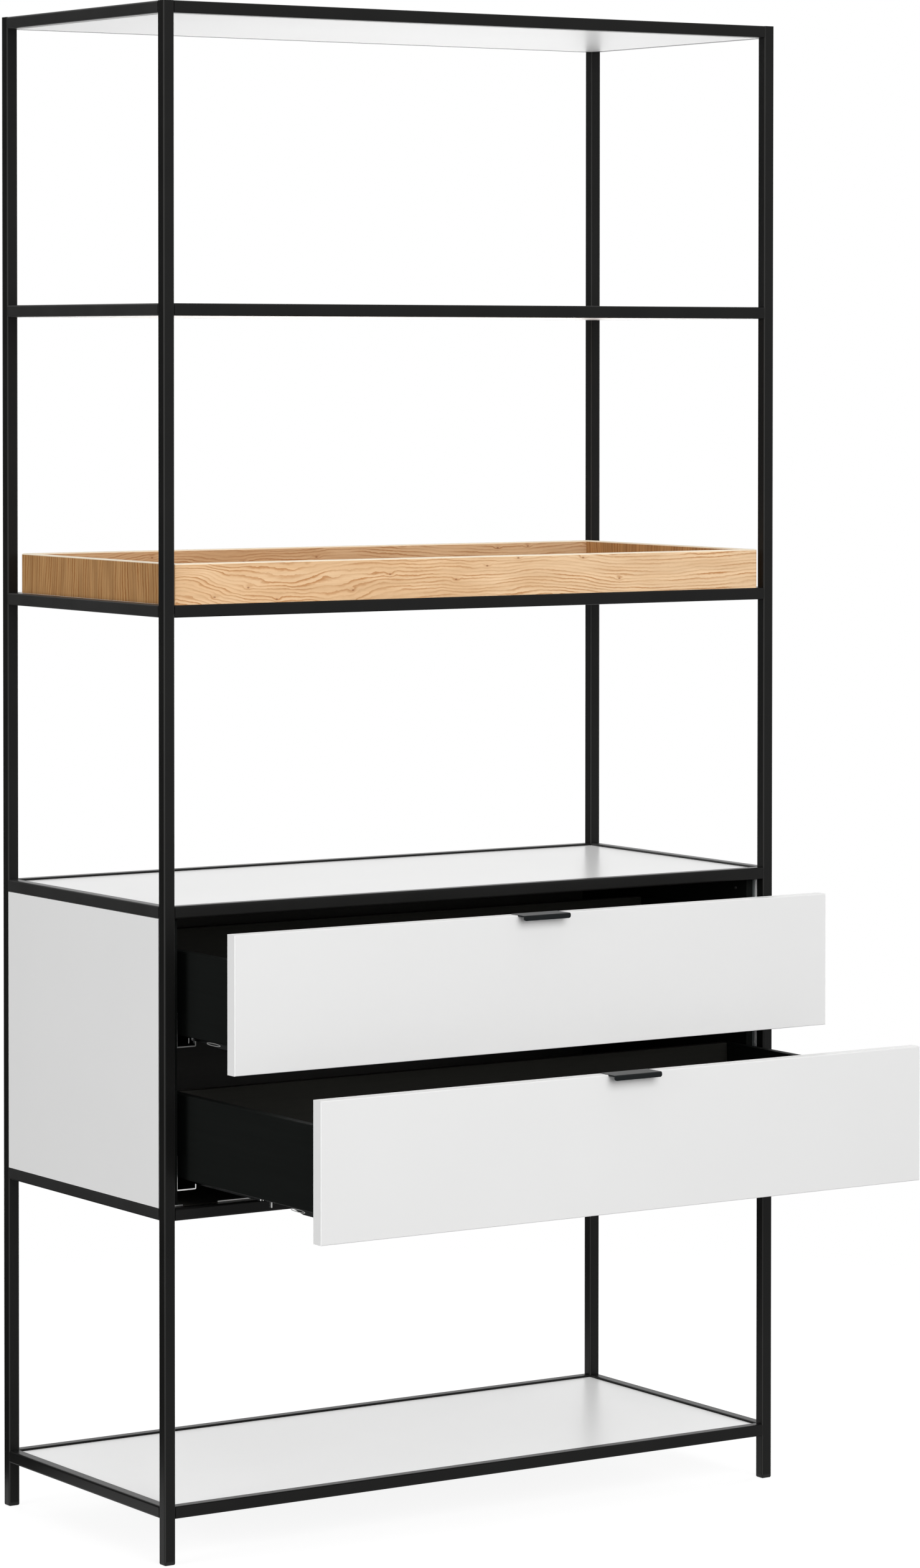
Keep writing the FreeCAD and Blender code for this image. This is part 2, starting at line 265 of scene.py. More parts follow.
class MaterialGraph(Graph):
    """The node tree of one new material."""

    def __init__(self, name: str) -> None:
        """Make an empty material.

        Args:
            name: The material's name.
        """
        self.material = bpy.data.materials.new(name)
        self.material.use_nodes = True
        super().__init__(self.material.node_tree)

    def surface(self, sockets: Mapping[str, Any]) -> Material:
        """End the tree in a Principled shader with these sockets."""
        shader = self.node("ShaderNodeBsdfPrincipled", {}, sockets)
        return self.end(shader.outputs[0])

    def end(self, shader: Socket) -> Material:
        """End the tree in this shader."""
        self.node("ShaderNodeOutputMaterial", {}, {"Surface": shader})
        return self.material


class Axis(enum.IntEnum):
    """The axis that a grain runs along or that a board's faces are square to."""

    X = 0
    Y = 1
    Z = 2


@dataclass(frozen=True)
class PowderCoat:
    """Satin black powder coat with a fine orange peel.

    On posts, whose middles lie at plus or minus the given X and Y, a paler colour along the
    rounded corners is a painted highlight.
    """

    name: str
    colour: Colour = (0.0094, 0.0094, 0.0091)
    roughness: float = 0.27
    gloss: float = 0.10
    posts: Span | None = None
    corner_highlight_colour: Colour = (0.036, 0.036, 0.035)
    corner_highlight_band: Span = (6.2 * MM, 7.2 * MM)
    cloud_cell: float = 60 * MM
    cloud_shades: Span = (0.8, 1.25)
    cloud_sheen: float = 0.06
    peel_cell: float = 1.1 * MM
    peel_sheen: float = 0.04
    peel_relief: Relief = Relief(0.05 * MM, 0.25)

    def material(self) -> Material:
        """Build the coat: cloudy tone, uneven sheen and a peel in the normal.

        Returns:
            The material.
        """
        graph = MaterialGraph(self.name)
        point = graph.place()
        peel = graph.noise(point, self.peel_cell, detail=1.0)
        cloud = graph.noise(point, self.cloud_cell, detail=3.0)
        tone = graph.vary(cloud, self.colour, self.cloud_shades)
        if self.posts:
            across, along = (abs(abs(place) - middle) for place, middle in zip(point, self.posts))
            # Painted highlight: a paler colour along the posts' rounded corners
            tone = graph.blend(across.rise(*self.corner_highlight_band) * along.rise(*self.corner_highlight_band), tone,
                               self.corner_highlight_colour)
        return graph.surface({
            "Base Color": tone,
            "Roughness": self.roughness + self.cloud_sheen * cloud + self.peel_sheen * peel,
            "Specular IOR Level": self.gloss,
            "Normal": graph.bump(peel, self.peel_relief)})


@dataclass(frozen=True)
class Lacquer:
    """White satin lacquer, sprayed and very slightly uneven."""

    name: str
    colour: Colour = (0.865, 0.865, 0.862)
    roughness: float = 0.29
    gloss: float = 0.5
    cloud_cell: float = 140 * MM
    cloud_shades: Span = (0.985, 1.012)
    spray_cell: float = 3.5 * MM
    spray_sheen: float = 0.06
    spray_relief: Relief = Relief(0.04 * MM, 0.12)

    def colour_in(self, graph: Graph) -> Socket:
        """The lacquer's colour in a graph, a little cloudy."""
        cloud = graph.noise(graph.place(), self.cloud_cell, detail=3.0)
        return graph.vary(cloud, self.colour, self.cloud_shades)

    def material(self) -> Material:
        """Build the lacquer: soft clouds of tone over a shallow spray texture.

        Returns:
            The material.
        """
        graph = MaterialGraph(self.name)
        spray = graph.noise(graph.place(), self.spray_cell)
        return graph.surface({
            "Base Color": self.colour_in(graph),
            "Roughness": self.roughness + self.spray_sheen * spray,
            "Specular IOR Level": self.gloss,
            "Normal": graph.bump(spray, self.spray_relief)})


@dataclass(frozen=True)
class DarkBoard:
    """Black melamine faced board with a fine pressed grain along one axis.

    A liner's front edge has a lighter band, outwards of a place on X and in front of one on Y.
    """

    name: str
    grain: Axis
    colour: Colour = (0.0078, 0.0086, 0.0081)
    shades: Span = (0.78, 1.3)
    roughness: float = 0.40
    grain_sheen: float = 0.14
    gloss: float = 0.02
    pore_width: float = 0.6 * MM
    pore_length: float = 18 * MM
    pores_to_streak: float = 12.0
    relief: Relief = Relief(0.08 * MM, 0.3)
    band: Span | None = None
    band_colour: Colour = (0.075, 0.082, 0.082)
    band_step: float = 0.3 * MM

    def parts(self, graph: Graph) -> tuple[Value, Socket]:
        """The pressed grain and the colour that goes with it.

        Args:
            graph: The material's tree.

        Returns:
            The grain's height and the colour socket.
        """
        point = graph.place()
        pore = tuple(self.pore_length if axis == self.grain else self.pore_width for axis in Axis)
        grain = graph.noise(point, pore, detail=3.0, rough=0.6)
        streak = graph.noise(point, scaled(pore, self.pores_to_streak))
        return grain, graph.vary(0.5 * grain + 0.5 * streak, self.colour, self.shades)

    def material(self) -> Material:
        """Build the board: streaks along the grain in colour, sheen and normal, and the band.

        Returns:
            The material.
        """
        graph = MaterialGraph(self.name)
        grain, colour = self.parts(graph)
        if self.band:
            inner, front = self.band
            x, y, _ = graph.place()
            band = (y.rise(front + self.band_step, front)
                    * abs(x).rise(inner - self.band_step, inner))
            colour = graph.blend(band, colour, self.band_colour)
        return graph.surface({
            "Base Color": colour,
            "Roughness": self.roughness + self.grain_sheen * grain,
            "Specular IOR Level": self.gloss,
            "Normal": graph.bump(grain, self.relief)})


@dataclass(frozen=True)
class FacedBoard:
    """A board with white lacquer on one face and dark melamine on the other."""

    name: str
    white: Lacquer
    dark: DarkBoard
    across: Axis
    change: float
    white_above: bool = True
    step: float = 0.2 * MM
    dark_roughness: float = 0.46
    white_roughness: float = 0.26
    gloss: float = 0.4

    def material(self) -> Material:
        """Build both faces and choose between them by the place across the board.

        Returns:
            The material.
        """
        graph = MaterialGraph(self.name)
        place = graph.place()[self.across]
        ends = (self.change - self.step, self.change + self.step)
        share = place.rise(*ends) if self.white_above else place.rise(*reversed(ends))
        grain, dark = self.dark.parts(graph)
        smoother = self.dark_roughness - self.white_roughness
        return graph.surface({
            "Base Color": graph.blend(share, dark, self.white.colour_in(graph)),
            "Roughness": self.dark_roughness - smoother * share,
            "Specular IOR Level": self.gloss,
            "Normal": graph.bump(grain * (1 - share), self.dark.relief)})


@dataclass(frozen=True)
class Bend:
    """One size of wave in the oak's grain: its cells, its height and its octaves."""

    cell: Triple
    height: float
    detail: float


@dataclass(frozen=True)
class Oak:
    """Clear lacquered oak: wavy grain lines, streaks, open pores, pin knots and a pale rim.

    The pale rim is a painted highlight.

    The lines lie where the place across the grain, bent by noise of four sizes that is stretched
    along the grain, passes a whole number of line pitches. They are calmer towards one end, and
    some are fainter than others. Cells are sizes along the grain, across it and into the wood.
    """

    name: str
    along: Axis
    across: Axis
    rim: float
    tone: Colour = WHITE
    rear_tone: Colour = WHITE
    line_pitch: float = 4.6 * MM
    streak_strength: float = 0.12
    knots: float = 0.42

    light: Colour = (0.836, 0.548, 0.308)
    pale: Colour = (0.905, 0.640, 0.394)
    dark: Colour = (0.560, 0.272, 0.108)
    pore_colour: Colour = (0.46, 0.215, 0.085)
    knot_colour: Colour = (0.30, 0.115, 0.045)
    rim_highlight_colour: Colour = (0.98, 0.88, 0.70)

    # The grain lines
    bends: tuple[Bend, ...] = (
        Bend((240 * MM, 160 * MM, 50 * MM), 90 * MM, 1.0),
        Bend((75 * MM, 26 * MM, 40 * MM), 16 * MM, 2.0),
        Bend((22 * MM, 10 * MM, 20 * MM), 4.2 * MM, 2.0),
        Bend((5 * MM, 2.8 * MM, 10 * MM), 1.3 * MM, 2.0))
    calm_from: float = 0.30
    lively_from: float = -0.35
    calm_share: float = 0.50
    line_in: Span = (0.36, 0.90)
    line_out: Span = (1.0, 0.93)
    line_strength: float = 1.50
    line_least: float = 0.1
    weight_cell: Triple = (1.0, 90 * MM, 50 * MM)
    weight_pitch: float = 0.73
    weight_step: Span = (0.34, 0.62)
    weight_least: float = 0.25
    patch_cell: Triple = (110 * MM, 16 * MM, 60 * MM)
    pale_shift: float = 0.36
    pale_step: Span = (0.42, 0.92)

    # Streaks, fibres and pores
    streak_cell: Triple = (170 * MM, 7.5 * MM, 7.5 * MM)
    streak_step: Span = (0.8, 0.2)
    streak_shade: float = 0.30
    fibre_cell: Triple = (35 * MM, 1.1 * MM, 1.1 * MM)
    fibre_shade: float = 0.93
    fibre_spread: float = 0.14
    pore_cell: Triple = (11 * MM, 0.52 * MM, 0.52 * MM)
    pore_step: Span = (0.60, 0.74)
    pore_least: float = 0.35
    pore_share: float = 0.45

    # Knots, each with a core and a halo in shares of a cell
    knot_cell: Span = (52 * MM, 30 * MM)
    knot_depth: float = 23 * MM
    knot_edge: float = 0.01
    knot_share: float = 0.70
    core_step: Span = (0.050, 0.020)
    halo_step: Span = (0.20, 0.03)
    halo_share: float = 0.25
    halo_bend: float = 0.6

    # The painted highlight on the rim, the change of tone between front and rear, and the lacquer
    rim_highlight_step: Span = (2.2 * MM, 1.0 * MM)
    rim_share: float = 0.9
    tone_step: Span = (-1 * MM, 1 * MM)
    roughness: float = 0.40
    pore_sheen: float = 0.12
    line_sheen: float = 0.06
    gloss: float = 0.22
    fibre_height: float = 0.3
    pore_height: float = 0.8
    line_height: float = 0.25
    relief: Relief = Relief(0.12 * MM, 0.3)

    def material(self) -> Material:
        """Build the grain lines, pores, knots and streaks over them, and a painted rim highlight.

        Returns:
            The material.
        """
        graph = MaterialGraph(self.name)
        point = graph.place()
        (into,) = set(Axis) - {self.along, self.across}
        grain = [point[axis] for axis in (self.along, self.across, into)]
        knot, halo = self._knots(graph, grain)
        line, patch = self._lines(graph, grain, halo)
        streak = graph.noise(grain, self.streak_cell, detail=3.0, rough=0.6)
        fibre = graph.noise(grain, self.fibre_cell, detail=3.0, rough=0.6)
        pore = (graph.noise(grain, self.pore_cell, detail=1.0).rise(*self.pore_step)
                * (self.pore_least + (1 - self.pore_least) * line))
        fade = patch + self.pale_shift * grain[0].rise(self.lively_from, self.calm_from)
        colour = graph.blend(fade.rise(*self.pale_step), self.light, self.pale)
        strength = line * (self.line_least + patch) * self.line_strength
        colour = graph.blend(strength, colour, self.dark)
        colour = graph.blend(pore * self.pore_share, colour, self.pore_colour)
        colour = graph.blend(self.halo_share * halo, colour, self.dark)
        colour = graph.blend(knot, colour, self.knot_colour)
        board = graph.blend(point[Axis.Y].rise(*self.tone_step), self.tone, self.rear_tone)
        colour = graph.blend(1.0, colour, board, "MULTIPLY")
        shadow = self.streak_strength * (streak + patch - 0.5).rise(*self.streak_step)
        colour = graph.blend(shadow, colour, scaled(self.dark, self.streak_shade))
        colour = graph.shade(colour, self.fibre_shade + self.fibre_spread * fibre)
        # Painted highlight: the wood turns paler towards the top of the walls, along the rim
        rim_highlight = point[Axis.Z].rise(*(self.rim - depth for depth in self.rim_highlight_step))
        height = fibre * self.fibre_height - pore * self.pore_height - line * self.line_height
        return graph.surface({
            "Base Color": graph.blend(self.rim_share * rim_highlight, colour, self.rim_highlight_colour),
            "Roughness": self.roughness + self.pore_sheen * pore - self.line_sheen * line,
            "Specular IOR Level": self.gloss,
            "Normal": graph.bump(height, self.relief)})

    def _lines(self, graph: Graph, grain: Sequence[Value], halo: Value) -> tuple[Value, Value]:
        """The dark lines of late wood.

        Args:
            graph: The material's tree.
            grain: Places along the grain, across it and into the wood.
            halo: Bent grain round the knots, from 0 to 1.

        Returns:
            The lines, from 0 to 1, and slow patches of tone about 0.5.
        """
        run, rise, depth = grain
        swell, wave, curl, fret = (
            bend.height * (graph.noise(grain, bend.cell, bend.detail) - 0.5)
            for bend in self.bends)
        patch = graph.noise(grain, self.patch_cell)
        lively = (self.calm_share
                  + (1 - self.calm_share) * run.rise(self.calm_from, self.lively_from))
        height = rise + lively * (swell + wave + curl) + fret
        phase = height / self.line_pitch + self.halo_bend * halo
        cycle = phase.fraction()
        number = (phase - cycle) * self.weight_pitch
        weight = graph.noise((number, run, depth), self.weight_cell, detail=1.0)
        line = cycle.rise(*self.line_in) * cycle.rise(*self.line_out)
        least = self.weight_least
        return line * (least + (1 - least) * weight.rise(*self.weight_step)), patch

    def _knots(self, graph: Graph, grain: Sequence[Value]) -> tuple[Value, Value]:
        """Small round knots, scattered.

        Args:
            graph: The material's tree.
            grain: Places along the grain, across it and into the wood.

        Returns:
            The knots' cores and the wider rings of bent grain round them, each from 0 to 1.
        """
        run, rise, depth = grain
        length, width = self.knot_cell
        distance, chance = graph.cells([run / length + depth / self.knot_depth, rise / width])
        kept = chance.rise(1 - self.knots, 1 - self.knots + self.knot_edge)
        core = distance.rise(*self.core_step) * kept * self.knot_share
        halo = distance.rise(*self.halo_step) * kept
        return core, halo


@dataclass(frozen=True)
class ZincSheet:
    """Dark passivated zinc on steel sheet, drawn lengthways, with bright metal in a span of Y.

    A piece may carry a moulded coupling of dark plastic, which lies outwards of a place on X and
    in a span of Y of its own.
    """

    name: str
    bright: Span
    plastic_from: float = math.inf
    plastic: Span = (0.0, 0.0)
    colour: Colour = (0.20, 0.205, 0.21)
    shades: Span = (0.8, 1.0)
    cut_colour: Colour = (0.80, 0.80, 0.79)
    plastic_colour: Colour = (0.012, 0.013, 0.013)
    plastic_roughness: float = 0.42
    roughness: float = 0.26
    bloom_cell: float = 9 * MM
    bloom_sheen: float = 0.08
    draw_cell: Triple = (0.25 * MM, 30 * MM, 0.25 * MM)
    draw_sheen: float = 0.06
    draw_relief: Relief = Relief(0.03 * MM, 0.2)
    step: float = 0.05 * MM

    def material(self) -> Material:
        """Build the plated sheet, its bright cut ends, and the plastic where it has a coupling.

        Returns:
            The material.
        """
        graph = MaterialGraph(self.name)
        point = graph.place()
        x, y, _ = point
        draw = graph.noise(point, self.draw_cell)
        bloom = graph.noise(point, self.bloom_cell, detail=3.0)
        sheet = graph.vary(bloom, self.colour, self.shades)
        metal = graph.blend(self._within(y, self.bright), sheet, self.cut_colour)
        rough = self.roughness + self.bloom_sheen * bloom + self.draw_sheen * draw
        normal = graph.bump(draw, self.draw_relief)
        if self.plastic_from == math.inf:
            return graph.surface({"Base Color": metal, "Roughness": rough, "Metallic": 1.0,
                                  "Normal": normal})
        moulded = (abs(x).rise(self.plastic_from, self.plastic_from + self.step)
                   * self._within(y, self.plastic))
        return graph.surface({
            "Base Color": graph.blend(moulded, metal, self.plastic_colour),
            "Roughness": rough * (1 - moulded) + self.plastic_roughness * moulded,
            "Metallic": 1 - moulded,
            "Normal": normal})

    def _within(self, place: Value, span: Span) -> Value:
        """1 inside a span and 0 outside it."""
        low, high = span
        return place.rise(low - self.step, low) * place.rise(high + self.step, high)


@dataclass(frozen=True)
class GrainedFinish:
    """One colour with a fine grain in tone, sheen and normal."""

    name: str
    colour: Colour
    metal: float
    roughness: float
    gloss: float
    cell: float
    sheen: float
    relief: Relief
    shades: Span = (0.8, 1.0)

    def material(self) -> Material:
        """Build the finish from one noise.

        Returns:
            The material.
        """
        graph = MaterialGraph(self.name)
        grain = graph.noise(graph.place(), self.cell)
        return graph.surface({
            "Base Color": graph.vary(grain, self.colour, self.shades),
            "Metallic": self.metal,
            "Roughness": self.roughness + self.sheen * grain,
            "Specular IOR Level": self.gloss,
            "Normal": graph.bump(grain, self.relief)})


@dataclass(frozen=True)
class BareSteel(GrainedFinish):
    """Bare steel of screws, wires and edgings, bright or dull."""

    colour: Colour = (0.92, 0.92, 0.90)
    metal: float = 0.6
    roughness: float = 0.28
    gloss: float = 0.5
    cell: float = 0.4 * MM
    sheen: float = 0.1
    relief: Relief = Relief(0.02 * MM, 0.2)


@dataclass(frozen=True)
class MouldedPlastic(GrainedFinish):
    """Black moulded plastic with a fine spark texture."""

    colour: Colour = (0.0085, 0.0085, 0.0085)
    metal: float = 0.0
    roughness: float = 0.45
    gloss: float = 0.25
    cell: float = 0.5 * MM
    sheen: float = 0.15
    relief: Relief = Relief(0.05 * MM, 0.3)


def dress(material: Material, *nodes: str) -> None:
    """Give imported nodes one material.

    Args:
        material: The finish.
        nodes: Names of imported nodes.
    """
    for node in nodes:
        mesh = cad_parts[node].data
        mesh.materials.clear()
        mesh.materials.append(material)
        LOG.info("dressed %s in %s", node, material.name)


def link(name: str, data: bpy.types.ID) -> bpy.types.Object:
    """Put a mesh, a lamp or a camera into the scene.

    Args:
        name: The object's name.
        data: What it shows.

    Returns:
        The new object.
    """
    made = bpy.data.objects.new(name, data)
    bpy.context.scene.collection.objects.link(made)
    return made


def spots_on(face: float, runs: Sequence[float], heights: Sequence[float]) -> np.ndarray:
    """Every pairing of places on Y and on Z, as points of a face across X, one row each."""
    run, height = np.meshgrid(runs, heights)
    return np.stack([np.full(run.size, face), run.ravel(), height.ravel()], axis=1)


def shell_faces(rings: int, spokes: int) -> tuple[np.ndarray, np.ndarray]:
    """Faces of a closed shell of rings between two poles.

    Points are numbered from the first pole, ring by ring, to the last pole. Seen from the first
    pole, the rings turn anticlockwise.

    Args:
        rings: Rings between the poles.
        spokes: Points on each ring.

    Returns:
        Point numbers of the quads between rings, and of the triangles at the poles.
    """
    row, spoke = np.meshgrid(np.arange(rings - 1), np.arange(spokes), indexing="ij")
    following = (spoke + 1) % spokes
    near, far = 1 + row * spokes, 1 + (row + 1) * spokes
    quads = np.stack([near + spoke, far + spoke, far + following, near + following], axis=-1)
    first, second = spoke[0], following[0]
    final, last = np.full(spokes, 1 + rings * spokes), 1 + (rings - 1) * spokes
    fans = np.stack([np.stack([0 * first, 1 + first, 1 + second], axis=-1),
                     np.stack([final, last + second, last + first], axis=-1)])
    return quads.reshape(-1, 4), fans.reshape(-1, 3)


def add_shells(name: str, shells: np.ndarray, spokes: int, body: str,
               material: Material) -> bpy.types.Object:
    """Make one piece of closed shells and let it ride on a body.

    Args:
        name: The piece's name.
        shells: Points of each shell, as shell_faces numbers them, in rows of X, Y and Z.
        spokes: Points on each ring.
        body: The body that it moves with.
        material: Its finish.

    Returns:
        The new object.
    """
    count, size, _ = shells.shape
    step = np.arange(count)[:, None, None] * size
    kinds = [(part[None] + step).reshape(-1, part.shape[1])
             for part in shell_faces((size - 2) // spokes, spokes)]
    sides = np.concatenate([np.full(len(part), part.shape[1]) for part in kinds])
    corners = np.concatenate([part.ravel() for part in kinds])
    mesh = bpy.data.meshes.new(name)
    mesh.vertices.add(count * size)
    mesh.vertices.foreach_set("co", shells.astype(np.float32).ravel())
    mesh.loops.add(len(corners))
    mesh.loops.foreach_set("vertex_index", corners.astype(np.int32))
    mesh.polygons.add(len(sides))
    starts = np.concatenate([[0], np.cumsum(sides)[:-1]])
    mesh.polygons.foreach_set("loop_start", starts.astype(np.int32))
    mesh.update(calc_edges=True)
    mesh.validate()
    mesh.materials.append(material)
    piece = link(name, mesh)
    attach(piece, body)
    LOG.info("made %s with %d faces on %s", name, len(sides), body)
    return piece


@dataclass
class CrossHeadScrews:
    """Screw heads with a cross recess, standing on a face. Shares are of the radius or dome."""

    radius: float
    dome: float
    rings: ClassVar[int] = 14
    spokes: ClassVar[int] = 48
    rim_share: ClassVar[float] = 0.30
    arm_share: ClassVar[float] = 0.17
    arm_edge: ClassVar[float] = 0.06
    reach_share: ClassVar[float] = 0.58
    reach_edge: ClassVar[float] = 0.10
    recess_share: ClassVar[float] = 0.7

    def head(self) -> np.ndarray:
        """The points of one head about the origin, standing up along Z.

        A head is a surface over a disc. Its height is the upper part of an ellipse that falls from
        the dome to the rim, less a cross: a recess wherever one of the two coordinates is small
        and the middle is near. Past the rim the shell goes straight down and closes underneath.

        Returns:
            The points, from the pole in the recess, ring by ring, to the pole underneath.
        """
        share = np.linspace(0.0, 1.0, self.rings)[1:, None]
        angle = np.linspace(0.0, 2 * math.pi, self.spokes, endpoint=False)[None, :]
        across, up = share * np.cos(angle), share * np.sin(angle)
        arc = np.sqrt(1 - share**2 * np.ones_like(angle))
        dome = self.dome * (self.rim_share + (1 - self.rim_share) * arc)
        depth_in_arm = self.arm_share - np.minimum(abs(across), abs(up))
        arm = np.clip(depth_in_arm / self.arm_edge, 0.0, 1.0)
        reach = np.clip((self.reach_share - share) / self.reach_edge, 0.0, 1.0)
        cross = self.recess_share * self.dome * arm * reach
        top = np.stack([self.radius * across, self.radius * up, dome - cross], axis=-1)
        foot = top[-1] * np.array([1.0, 1.0, 0.0])
        poles = np.array([[0.0, 0.0, (1 - self.recess_share) * self.dome], [0.0, 0.0, 0.0]])
        return np.concatenate([poles[:1], top.reshape(-1, 3), foot, poles[1:]])

    def place(self, name: str, spots: np.ndarray, normal: Sequence[float], body: str, slot: str,
              material: Material) -> None:
        """Put heads on a face, all in one piece.

        Args:
            name: The piece's name.
            spots: Where the heads sit, one row each.
            normal: The way that they face.
            body: The body that carries them.
            slot: The record's material slot; not used.
            material: Their finish.
        """
        out = np.asarray(normal, float)
        side = np.cross(out, np.eye(len(out))[np.argmin(abs(out))])
        turn = np.stack([side, np.cross(out, side), out])
        shells = spots[:, None, :] + (self.head() @ turn)[None]
        add_shells(name, shells, self.spokes, body, material).data.shade_smooth()


@dataclass
class FloorEdging:
    """A thin steel strip on the front edge of the cabinet's floor, in lengths."""

    sheet: float = 1.5 * MM
    depth: float = 2.4 * MM
    spokes: ClassVar[int] = 24
    squareness: ClassVar[float] = 10.0

    def place(self, lengths: np.ndarray, front: float, top: float, material: Material) -> None:
        """Lay the lengths on the floor.

        The section is a superellipse, nearly a rectangle, carried straight along X from one end of
        each length to the other, and closed at both ends.

        Args:
            lengths: The two ends of each length on X, one row each.
            front: The strip's front on Y.
            top: The floor's upper face on Z.
            material: The finish.
        """
        angle = np.linspace(0.0, -2 * math.pi, self.spokes, endpoint=False)
        ring = np.stack([np.cos(angle), np.sin(angle)])
        ring = np.sign(ring) * abs(ring)**(2 / self.squareness)
        half = np.array([[self.depth / 2], [self.sheet / 2]])
        middle = np.array([[front], [top]]) + half
        section = middle + ring * half
        loop = np.concatenate([middle, section, section, middle], axis=1).T
        ends = np.repeat(lengths, 1 + self.spokes, axis=1)
        shells = np.concatenate([ends[:, :, None], np.tile(loop, (len(lengths), 1, 1))], axis=2)
        add_shells("cabinet_floor_edging", shells, self.spokes, "frame", material)


@dataclass
class ReleaseWires:
    """Bent release wires on the outer faces of a drawer's two front couplings."""

    wire: float = 0.5 * MM
    half_length: float = 17 * MM
    half_height: float = 1.5 * MM
    gap: float = 0.35
    rings: ClassVar[int] = 48
    spokes: ClassVar[int] = 10

    def points(self, middle: Sequence[float]) -> np.ndarray:
        """The points of a wire on each side, the right one mirrored.

        The path is an oval in a plane across X that stops short of closing. A circle square to
        the path is carried along it, and both ends close in a pole.

        Args:
            middle: The left oval's centre.

        Returns:
            Two rows of points, each from one end's pole, ring by ring, to the other's.
        """
        turn = np.linspace(self.gap, 2 * math.pi - self.gap, self.rings)[:, None]
        round_wire = np.linspace(0.0, 2 * math.pi, self.spokes, endpoint=False)[None, :]
        slope = np.hypot(self.half_height * np.cos(turn), self.half_length * np.sin(turn))
        out_y = self.half_height * np.cos(turn) / slope
        out_z = self.half_length * np.sin(turn) / slope
        y = self.half_length * np.cos(turn) + self.wire * out_y * np.cos(round_wire)
        z = self.half_height * np.sin(turn) + self.wire * out_z * np.cos(round_wire)
        x = self.wire * np.sin(round_wire) * np.ones_like(turn)
        rings = np.stack([x, y, z], axis=-1)
        ends = rings[[0, -1]].mean(axis=1)
        left = np.concatenate([ends[:1], rings.reshape(-1, 3), ends[1:]]) + np.asarray(middle)
        right = np.concatenate([ends[:1], rings[:, ::-1].reshape(-1, 3), ends[1:]])
        right = (right + np.asarray(middle)) * np.array([-1.0, 1.0, 1.0])
        return np.stack([left, right])


class Finishes:
    """Every finish that several pieces share, built once."""

    # Painted fill light: the black board made paler for faces in the shade inside
    inside: ClassVar[Colour] = (0.034, 0.0335, 0.030)
    # Painted sheen: the black coat made paler for the end rails above the bottom level
    end_rail_sheen_colour: ClassVar[Colour] = (0.028, 0.028, 0.0277)
    pull_colour: ClassVar[Colour] = (0.0085, 0.0100, 0.0108)
    screw_colour: ClassVar[Colour] = (0.22, 0.22, 0.215)

    def __init__(self) -> None:
        """Build the materials."""
        self.white = Lacquer("white_lacquer")
        self.coat = PowderCoat("black_powder_coat").material()
        self.end_rail_sheen_coat = PowderCoat("black_coat_with_painted_sheen", self.end_rail_sheen_colour).material()
        self.pull_coat = PowderCoat("pull_powder_coat", self.pull_colour, roughness=0.29,
                                    gloss=0.09).material()
        self.lacquer = self.white.material()
        self.dark_along_y = DarkBoard("dark_board_along_y", Axis.Y).material()
        self.inside_along_y = DarkBoard("dark_inside_along_y", Axis.Y, self.inside).material()
        self.inside_along_x = DarkBoard("dark_inside_along_x", Axis.X, self.inside).material()
        self.steel = BareSteel("bright_steel").material()
        self.screws = BareSteel("dull_steel", self.screw_colour, metal=1.0).material()
        self.plastic = MouldedPlastic("black_plastic").material()


class Level(enum.Enum):
    """The levels of the frame, from the floor up, by the names of their rails."""

    BOTTOM = "bottom"
    CABINET_FLOOR = "cabinet_floor"
    CABINET_TOP = "cabinet_top"
    TRAY = "tray"
    MIDDLE = "middle"
    TOP = "top"


class Side(enum.Enum):
    """The sides of the frame, by the words in the names of their pieces."""

    FRONT = "front"
    BACK = "back"
    LEFT = "left"
    RIGHT = "right"


ENDS = (Side.LEFT, Side.RIGHT)


@dataclass
class Frame:
    """Posts, rails, feet and the boards between the rails."""

    finishes: Finishes
    facing: float = 1 * MM

    def dress(self) -> None:
        """Coat the tubes, face the boards and give the feet their plastic."""
        low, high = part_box("post_back_right")
        middle = 0.5 * (low + high)
        # The posts' coat has a painted highlight along their rounded corners
        posts = PowderCoat("black_post_coat", posts=(middle.x, middle.y)).material()
        dress(posts, *[f"post_{row.value}_{end.value}" for row in (Side.FRONT, Side.BACK)
                       for end in ENDS])
        dress(self.finishes.plastic, "feet")
        for level in Level:
            for side in Side:
                # Painted sheen: end rails above the bottom level get the paler coat
                pale = side in ENDS and level is not Level.BOTTOM
                dress(self.finishes.end_rail_sheen_coat if pale else self.finishes.coat,
                      f"rail_{level.value}_{side.value}")
            if level not in (Level.CABINET_FLOOR, Level.CABINET_TOP):
                dress(self.finishes.lacquer, f"board_{level.value}")
        # Painted fill light: the cabinet's lining takes the paler inside colour
        lining = DarkBoard("cabinet_lining", Axis.X, self.finishes.inside)
        for level in (Level.CABINET_TOP, Level.CABINET_FLOOR):
            low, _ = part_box(f"board_{level.value}")
            board = FacedBoard(f"{level.value}_board", self.finishes.white, lining, Axis.Z,
                               low.z + self.facing, white_above=level is Level.CABINET_TOP)
            dress(board.material(), f"board_{level.value}")


